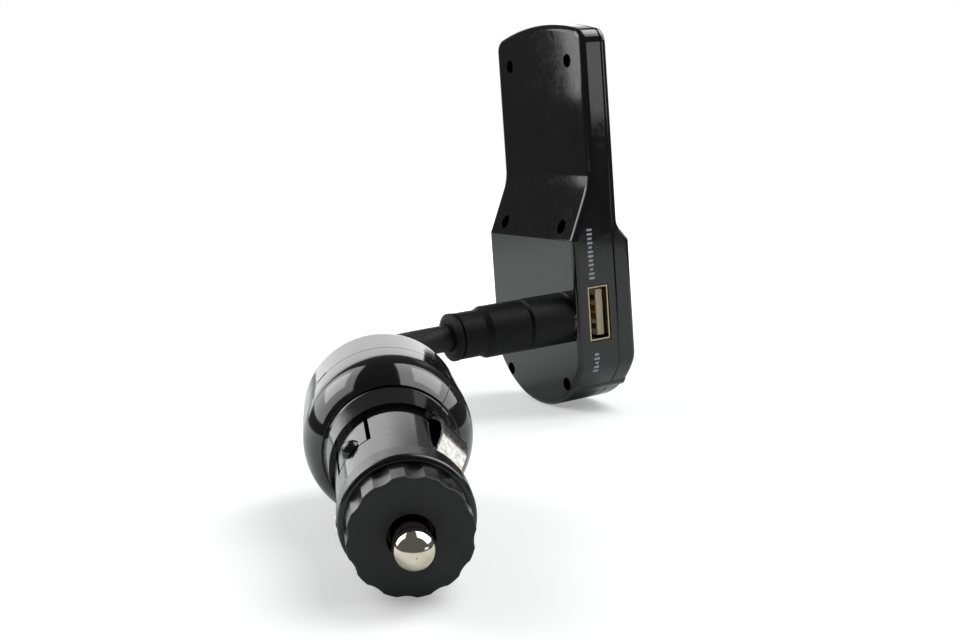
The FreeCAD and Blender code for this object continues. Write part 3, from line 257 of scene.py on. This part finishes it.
def solder_masked(name):
    """Glass laminate under green solder mask, with the copper tracks showing through as paler lines."""
    made, tree, place = new_material(name)
    tracks = add_node(tree, "ShaderNodeTexVoronoi", {"Vector": place, "Scale": per_metre(TRACK_SPACING)},
                      distance="MANHATTAN", feature="F1")
    shade = add_node(tree, "ShaderNodeValToRGB", {"Fac": tracks.outputs["Distance"]})
    shade.color_ramp.interpolation = "CONSTANT"
    shade.color_ramp.elements[0].color = linear("#1E6B3C")
    shade.color_ramp.elements[1].position = 0.32
    shade.color_ramp.elements[1].color = linear("#124A2A")
    gloss = spread(tree, tracks.outputs["Distance"], 0.0, 1.0, 0.28, 0.4)
    shader = add_node(tree, "ShaderNodeBsdfPrincipled", {
        "Base Color": shade.outputs["Color"], "Roughness": gloss, "IOR": 1.55})
    surface(tree, shader.outputs["BSDF"])
    return made


# Values of a noise texture that nearly all of it lies between
NOISE_RANGE = (0.3, 0.7)
# Smears of handling: their width on clear pieces, and how far they are dragged out
SMEAR_WIDTH = 7.0
SMEAR_DRAG = 1.5
# Copper tracks under the solder mask, drawn coarser than the real 0.3 mm so that they show
TRACK_SPACING = 2.5
# Painted shade at the root of the pin, standing in for the shadow inside its bore
PAINTED_BORE_SHADE = "#15110F"
# Joint of the plug's half shells, and where the nose cap's polish starts, in the plug frame
SEAM_WIDTH = 0.09
SEAM_DEPTH = 0.12
NOSE_POLISH_START = -7.35
NOSE_POLISH_END = -7.15
NOSE_BORE = 8.3
# Where the boss rises from the rear shell, in the head frame
BOSS_START = -0.2
BOSS_END = -0.6
# Grit of an eroded tool, drawn coarser than the real 0.05 mm so that it shows
TOOL_GRIT = 0.3
GRIT_DEPTH = 0.012
DULL_POLISH = (0.46, 0.6)
DULL_LEVEL = 0.18

# Injection-moulded ABS and polycarbonate from a polished tool: deep black, mirror-like, with the slight
# waviness of a moulding
POLISHED_ABS = moulded("polished_black_abs", "#08080A", "#0E0E11", (0.05, 0.11), grain=2.6, depth=0.004,
                       ior=1.58)
# The same ABS on the plug's half shells, whose joint shows as a hairline
HALF_SHELL_ABS = moulded("polished_black_abs_with_joint", "#08080A", "#0E0E11", (0.05, 0.11), grain=2.6,
                         depth=0.004, ior=1.58, seam=True)
# The same ABS on the rear shell, with a boss left dull by an eroded tool
REAR_SHELL_ABS = moulded("polished_black_abs_with_dull_boss", "#08080A", "#0E0E11", (0.05, 0.11), grain=2.6,
                         depth=0.004, ior=1.58, dull=boss_side, face="#060607")
# Thermoplastic elastomer of the ferrule: dull black, soft to the touch
FERRULE_TPE = moulded("dull_black_elastomer", "#060607", "#0A0A0B", DULL_POLISH, grain=0.3, depth=0.008,
                      level=DULL_LEVEL)
# Glass-filled nylon: a polished black ring and flutes round a charcoal face with a fine even grit
NOSE_NYLON = moulded("two_finish_black_nylon", "#09090B", "#0F0F12", (0.16, 0.26), grain=2.6, depth=0.003,
                     ior=1.53, dull=nose_face, face="#3A3A3C")
# Nickel plate over turned brass: bright, faintly warm, with painted shade at the root where it runs in its bore
NICKEL_PLATE = plated("nickel_plated_brass", "#DAD2BE", "#F2EBD9", (0.05, 0.1), line=0.6, depth=0.0005,
                      root=(-8.3, -7.6))
# Nickel plate over rolled strip: grey and bright patches painted into its colour are painted reflections that
# break its mirror up
NICKEL_STRIP_PAINTED_REFLECTION = plated("nickel_strip_painted_reflection", "#454442", "#C2C0BB", (0.12, 0.22), line=0.7, depth=0.0015)
# Borosilicate tube of the fuse: clear, almost colourless
FUSE_GLASS = see_through("fuse_glass_tube", "#E4EEEA", "#F4F8F6", (0.0, 0.03), 1.47)
# Drawn spring wire: grey, with die lines along it, drawn coarser than real so that they show
SPRING_WIRE = plated("drawn_spring_wire", "#8E8E8C", "#B4B3AF", (0.22, 0.34), line=0.3, depth=0.002)
# Pressed brass sheet, dulled by handling
SEAT_BRASS = plated("pressed_brass", "#9A7A38", "#C6A258", (0.2, 0.36), line=1.2, depth=0.002)
# Printed board: green mask over copper tracks
GREEN_BOARD = solder_masked("solder_masked_laminate")
# Nylon switch cases with an eroded, dull surface
SWITCH_NYLON = moulded("eroded_switch_nylon", "#17171A", "#222226", (0.45, 0.6), grain=0.3, depth=0.01,
                       ior=1.53)
# Soft PVC sleeve: black, dull, with the faint flow lines of an extrusion
PVC_SLEEVE = moulded("extruded_black_pvc", "#070708", "#0D0D0E", (0.5, 0.64), grain=1.1, depth=0.012,
                     ior=1.53, level=0.3)
# Cast acrylic, smoked grey: a dark clear pane with a mirror polish
SMOKED_ACRYLIC = see_through("smoked_acrylic", "#5E6268", "#70757C", (0.01, 0.05), 1.49)
# Display glass with its back mask: near black with a green-grey cast
DISPLAY_GLASS = moulded("display_glass", "#12171A", "#1B2225", (0.05, 0.1), grain=4.0, depth=0.001, ior=1.52)
# Segments of the display when it is off: a shade paler than the glass
DISPLAY_SEGMENT = moulded("display_segment", "#3E474B", "#4B565A", (0.2, 0.3), grain=2.0, depth=0.001,
                          ior=1.52)
# Tin-plated steel sheet of the USB shell: warm grey, with rolling lines along the socket
USB_STEEL = plated("tinned_steel_sheet", "#A2947A", "#CDBFA3", (0.14, 0.28), line=0.5, depth=0.003)
# Glass-filled thermoplastic of the USB insert: undyed, a dull warm cream
USB_INSERT = moulded("undyed_moulded_pbt", "#B5AA8E", "#C8BDA2", (0.35, 0.5), grain=0.4, depth=0.01, ior=1.55)
# Gold flash over the USB contacts' spring brass
CONTACT_GOLD = plated("gold_flashed_contact", "#C8A452", "#E6C678", (0.32, 0.42), line=0.5, depth=0.001)
# Black oxide on steel screws: blue-black, with a dry sheen
BLACK_OXIDE = plated("black_oxide_steel", "#1B1C20", "#2C2D31", (0.32, 0.46), line=0.5, depth=0.004)
# Spark-eroded ABS keys: satin black
SATIN_ABS = moulded("satin_black_abs", "#141416", "#1C1C1F", (0.3, 0.42), grain=0.35, depth=0.008)
# Pad-printed ink: pale blue-grey, slightly uneven where the pad left it thin
PALE_INK = moulded("pad_printed_ink", "#8A90A0", "#B0B5C2", (0.45, 0.6), grain=0.4, depth=0.003, cloud=1.2)

SLOT_FINISHES = {
    "gloss_black_abs": POLISHED_ABS, "matte_black_nylon": NOSE_NYLON, "nickel_plate": NICKEL_PLATE,
    "fuse_tube": FUSE_GLASS, "spring_steel": SPRING_WIRE, "seat_brass": SEAT_BRASS,
    "circuit_board": GREEN_BOARD, "switch_case": SWITCH_NYLON, "black_pvc": PVC_SLEEVE,
    "window_acrylic": SMOKED_ACRYLIC, "display_panel": DISPLAY_GLASS, "usb_steel": USB_STEEL,
    "usb_insert": USB_INSERT, "black_screw": BLACK_OXIDE, "key_abs": SATIN_ABS,
}
NODE_FINISHES = {
    "plug_shell_upper": HALF_SHELL_ABS, "plug_shell_lower": HALF_SHELL_ABS, "rear_shell": REAR_SHELL_ABS,
    "neck_ferrule": FERRULE_TPE, "side_contact_right": NICKEL_STRIP_PAINTED_REFLECTION, "side_contact_left": NICKEL_STRIP_PAINTED_REFLECTION,
}
for part in frame["record"]["subparts"]:
    finish = NODE_FINISHES.get(part["node"], SLOT_FINISHES[part["material_slot"]])
    slots = frame["nodes"][part["node"]].data.materials
    slots.clear()
    slots.append(finish)


def add_piece(name, mesh, finish, body):
    """One of the scene's own pieces: takes a finish and a material slot, and rides on a body."""
    bmesh.ops.recalc_face_normals(mesh, faces=mesh.faces)
    data = bpy.data.meshes.new(name)
    mesh.to_mesh(data)
    mesh.free()
    data.materials.append(finish)
    item = bpy.data.objects.new(name, data)
    bpy.context.scene.collection.objects.link(item)
    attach(item, body)
    return item


def raised(shapes, low, high, at):
    """Flat shapes, each a list of (across, up), that rise from low to high above what carries them."""
    mesh = bmesh.new()
    for shape in shapes:
        lower = [mesh.verts.new(at(across, up, low)) for across, up in shape]
        upper = [mesh.verts.new(at(across, up, high)) for across, up in shape]
        mesh.faces.new(lower)
        mesh.faces.new(upper)
        for start in range(len(shape)):
            end = (start + 1) % len(shape)
            mesh.faces.new((lower[start], lower[end], upper[end], upper[start]))
    return mesh


def block(left, right, low, high):
    return [(left, low), (right, low), (right, high), (left, high)]


def on_front(centre, height):
    """Places on the head's front: across to the right of a centre, up from it, and out from a depth."""
    return lambda across, up, out: on_head(centre[0] - across, height + out, centre[1] + up)


def on_side(across, up, out):
    """Places on the head's USB side, found by looking in at the shell from outside."""
    start = on_head(OUTSIDE_HEAD, across, up)
    _, place, _, _ = frame["nodes"]["rear_shell"].ray_cast(start, -HEAD_X)
    return place + HEAD_X * out * MM


# Pale print beside the USB socket: plain ticks in two groups, each from a lowest to a highest place
PRINT_MIDDLE = 4.7
PRINT_WIDTHS = (1.5, 1.5, 0.9, 1.5, 1.2)
PRINT_GROUPS = ((33.2, 46.2), (10.4, 15.9))
PRINT_STEP = 1.05
PRINT_HEIGHT = 0.55
INK_SINK = 0.03
INK_RISE = 0.03
OUTSIDE_HEAD = 30.0


def make_side_print():
    ticks = []
    for low, high in PRINT_GROUPS:
        for number in range(int((high - low) / PRINT_STEP)):
            half = PRINT_WIDTHS[number % len(PRINT_WIDTHS)] / 2
            foot = low + number * PRINT_STEP
            ticks.append(block(PRINT_MIDDLE - half, PRINT_MIDDLE + half, foot, foot + PRINT_HEIGHT))
    mesh = raised(ticks, -INK_SINK, INK_RISE, on_side)
    add_piece("side_print", mesh, PALE_INK, "housing")


make_side_print()

# Keys: place on the head and the half height of their symbol
KEY_TOP = 17.2
KEY_ROW = 24.5
KEY_SPREAD = 11.0
KEY_PLACES = {
    "play_key": ((0.0, KEY_ROW), 1.7), "previous_key": ((KEY_SPREAD, KEY_ROW), 1.1),
    "next_key": ((-KEY_SPREAD, KEY_ROW), 1.1), "channel_up_key": ((0.0, KEY_ROW + KEY_SPREAD), 1.1),
    "channel_down_key": ((0.0, KEY_ROW - KEY_SPREAD), 1.1),
}
# Symbols in half heights: a triangle and two bars, double arrows with a stop bar, a plus and a minus
RIGHT_ARROWS = [[(-1.3, -1.0), (-0.1, 0.0), (-1.3, 1.0)], [(-0.1, -1.0), (1.1, 0.0), (-0.1, 1.0)],
                block(1.1, 1.4, -1.0, 1.0)]
KEY_SYMBOLS = {
    "play_key": [[(-1.5, -1.0), (0.1, 0.0), (-1.5, 1.0)], block(0.5, 0.85, -1.0, 1.0),
                 block(1.2, 1.55, -1.0, 1.0)],
    "previous_key": [[(-across, up) for across, up in shape] for shape in RIGHT_ARROWS],
    "next_key": RIGHT_ARROWS,
    "channel_up_key": [[(-1.0, -0.2), (-0.2, -0.2), (-0.2, -1.0), (0.2, -1.0), (0.2, -0.2), (1.0, -0.2),
                        (1.0, 0.2), (0.2, 0.2), (0.2, 1.0), (-0.2, 1.0), (-0.2, 0.2), (-1.0, 0.2)]],
    "channel_down_key": [block(-1.0, 1.0, -0.2, 0.2)],
}


def make_key_symbols():
    for key, (centre, half) in KEY_PLACES.items():
        shapes = [[(across * half, up * half) for across, up in shape] for shape in KEY_SYMBOLS[key]]
        mesh = raised(shapes, -INK_SINK, INK_RISE, on_front(centre, KEY_TOP))
        add_piece(key + "_symbol", mesh, PALE_INK, key)


make_key_symbols()

# Display behind the window: four seven-segment digits and a point, all off
DISPLAY_FRONT = 12.2
DISPLAY_CENTRE = (0.0, 71.0)
DIGIT_PLACES = (-9.3, -3.3, 2.7, 9.7)
DIGIT_HALF_WIDTH = 1.9
DIGIT_HALF_HEIGHT = 3.9
SEGMENT_WIDTH = 0.75
SEGMENT_GAP = 0.15
SEGMENT_RISE = 0.05


def segment(start, end):
    """One bar with pointed ends from start to end."""
    along = Vector((end[0] - start[0], end[1] - start[1])).normalized()
    side = Vector((-along.y, along.x)) * SEGMENT_WIDTH / 2
    first, last = Vector(start) + along * SEGMENT_GAP, Vector(end) - along * SEGMENT_GAP
    shoulder = along * SEGMENT_WIDTH / 2
    return [tuple(point) for point in (first, first + shoulder - side, last - shoulder - side, last,
                                       last - shoulder + side, first + shoulder + side)]


def make_display_digits():
    shapes = []
    for place in DIGIT_PLACES:
        left, right = place - DIGIT_HALF_WIDTH, place + DIGIT_HALF_WIDTH
        levels = (-DIGIT_HALF_HEIGHT, 0.0, DIGIT_HALF_HEIGHT)
        shapes += [segment((left, level), (right, level)) for level in levels]
        for side in (left, right):
            shapes += [segment((side, low), (side, high)) for low, high in zip(levels, levels[1:])]
    point = (DIGIT_PLACES[2] + DIGIT_PLACES[3]) / 2
    foot = -DIGIT_HALF_HEIGHT - SEGMENT_WIDTH / 2
    shapes.append(block(point - SEGMENT_WIDTH / 2, point + SEGMENT_WIDTH / 2, foot, foot + SEGMENT_WIDTH))
    mesh = raised(shapes, -SEGMENT_RISE, SEGMENT_RISE, on_front(DISPLAY_CENTRE, DISPLAY_FRONT))
    add_piece("display_digits", mesh, DISPLAY_SEGMENT, "housing")


make_display_digits()

# Gold contacts on the USB tongue's rear face: places up the tongue, width, depths behind the mouth
TONGUE_FACE = 6.18
CONTACT_PLACES = (-3.5, -1.0, 1.0, 3.5)
CONTACT_WIDTH = 1.25
CONTACT_ENDS = (9.6, 18.45)
CONTACT_RISE = 0.12


def make_usb_contacts():
    strips = [block(CONTACT_ENDS[0], CONTACT_ENDS[1], USB_MOUTH[2] + place - CONTACT_WIDTH / 2,
                    USB_MOUTH[2] + place + CONTACT_WIDTH / 2) for place in CONTACT_PLACES]
    mesh = raised(strips, -CONTACT_RISE, INK_SINK,
                  lambda across, up, out: on_head(across, TONGUE_FACE + out, up))
    add_piece("usb_contacts", mesh, CONTACT_GOLD, "housing")


make_usb_contacts()


def make_spring_coil():
    """Spring behind the fuse, copied in its world place from the CAD spring, which is hidden."""
    solid = frame["nodes"]["pin_spring"]
    data = solid.data.copy()
    data.transform(solid.matrix_world)
    coil = bpy.data.objects.new("spring_coil", data)
    bpy.context.scene.collection.objects.link(coil)
    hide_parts("pin_spring")
    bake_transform(coil)


make_spring_coil()


def make_studio():
    """White table and back wall in a dim room."""
    scene = bpy.context.scene
    scene.view_settings.view_transform = "Standard"
    world = bpy.data.worlds.new("white_studio")
    scene.world = world
    world.use_nodes = True
    tree = world.node_tree
    tree.nodes.clear()
    path = add_node(tree, "ShaderNodeLightPath")
    way = add_node(tree, "ShaderNodeTexCoord").outputs["Generated"]
    facing = add_node(tree, "ShaderNodeVectorMath", {0: way, 1: WALL_SIDE}, operation="DOT_PRODUCT")
    height = add_node(tree, "ShaderNodeSeparateXYZ", {"Vector": way})
    across = spread(tree, facing.outputs["Value"], *WALL_EDGE, 0.0, 1.0)
    low = spread(tree, height.outputs["Z"], *WALL_TOP, 1.0, 0.0)
    wall = add_node(tree, "ShaderNodeMath", {0: across, 1: low}, operation="MULTIPLY")
    room = spread(tree, wall.outputs["Value"], 0.0, 1.0, ROOM_LIGHT, WALL_LIGHT)
    seen = add_node(tree, "ShaderNodeMix", {FACTOR: path.outputs["Is Camera Ray"], 2: room, 3: 1.0})
    light = add_node(tree, "ShaderNodeBackground", {"Color": (1.0, 1.0, 1.0, 1.0),
                                                    "Strength": seen.outputs[0]})
    add_node(tree, "ShaderNodeOutputWorld", {"Surface": light.outputs["Background"]})

    bpy.ops.mesh.primitive_plane_add(size=1)
    floor = bpy.context.object
    floor.name = "white_table"
    floor.scale = TABLE_SIZE
    floor.location = TABLE_PLACE
    made, tree, _ = new_material("matte_white_paper")
    path = add_node(tree, "ShaderNodeLightPath")
    where = add_node(tree, "ShaderNodeNewGeometry").outputs["Position"]
    away = add_node(tree, "ShaderNodeVectorMath", {0: where}, operation="LENGTH")
    lift = spread(tree, away.outputs["Value"], *TABLE_FADE, *TABLE_LIFT)
    glow = add_node(tree, "ShaderNodeMath", {0: path.outputs["Is Camera Ray"], 1: lift}, operation="MULTIPLY")
    paper = add_node(tree, "ShaderNodeBsdfDiffuse", {"Color": linear("#E0E2E1")})
    white = add_node(tree, "ShaderNodeEmission", {"Strength": glow.outputs["Value"]})
    both = add_node(tree, "ShaderNodeAddShader", {0: paper.outputs["BSDF"], 1: white.outputs["Emission"]})
    surface(tree, both.outputs["Shader"])
    floor.data.materials.append(made)


# White wall behind: its middle direction, the cosines over which it fades, and its height
WALL_SIDE = (-0.105, 0.994, 0.0)
WALL_EDGE = (0.86, 0.9)
WALL_TOP = (0.48, 0.58)
WALL_LIGHT = 1.75
ROOM_LIGHT = 0.11
# Table in metres, and the glow that keeps it white away from the part
TABLE_SIZE = (0.93, 2.5, 1.0)
TABLE_PLACE = (0.135, 0.85, -0.0001)
TABLE_FADE = (0.15, 0.5)
TABLE_LIFT = (0.33, 1.0)


# Softboxes as seen from the bulb: heading from the back wall, rise above the table and roll in degrees, then
# their distance, width and height in metres, and how bright they look
SOFTBOXES = (
    ("left_softbox", -60, 33, 0, 0.28, 0.25, 0.26, 2.3), ("left_tube", -55, 35, 0, 0.27, 0.12, 0.12, 2.8),
    ("right_softbox", 73, 47, -12, 1.0, 0.92, 1.15, 2.8), ("right_tube", 67, 48, -12, 0.99, 0.52, 0.5, 2.4),
    ("right_screen", 118, 8, 0, 1.0, 0.36, 0.1, 1.5),
)


def add_softbox(name, heading, rise, roll, distance, width, height, brightness):
    """Area lamp that looks at the bulb."""
    turn = Matrix.Rotation(-math.radians(heading), 3, "Z") @ Matrix.Rotation(math.radians(rise), 3, "X")
    out = turn @ Vector((0, 1, 0))
    lamp = bpy.data.lights.new(name, "AREA")
    lamp.shape = "RECTANGLE"
    lamp.size, lamp.size_y = width, height
    lamp.energy = brightness * math.pi * width * height
    item = bpy.data.objects.new(name, lamp)
    bpy.context.scene.collection.objects.link(item)
    item.location = BULB_PLACE + out * distance
    item.rotation_mode = "QUATERNION"
    upright = (-out).to_track_quat("-Z", "Y")
    item.rotation_quaternion = upright @ Quaternion((0, 0, 1), math.radians(roll))


def add_camera():
    lens = bpy.data.cameras.new("photo_camera")
    lens.lens = CAMERA_LENS
    lens.sensor_width = SENSOR_WIDTH
    lens.clip_start = NEAREST
    camera = bpy.data.objects.new("photo_camera", lens)
    bpy.context.scene.collection.objects.link(camera)
    camera.location = (BULB_PLACE.x + CAMERA_SIDE * MM, BULB_PLACE.y + CAMERA_BACK * MM, CAMERA_HEIGHT * MM)
    camera.rotation_euler = (math.radians(90 + CAMERA_PITCH), 0, math.radians(-CAMERA_HEADING))
    bpy.context.scene.camera = camera


make_studio()
for softbox in SOFTBOXES:
    add_softbox(*softbox)
add_camera()
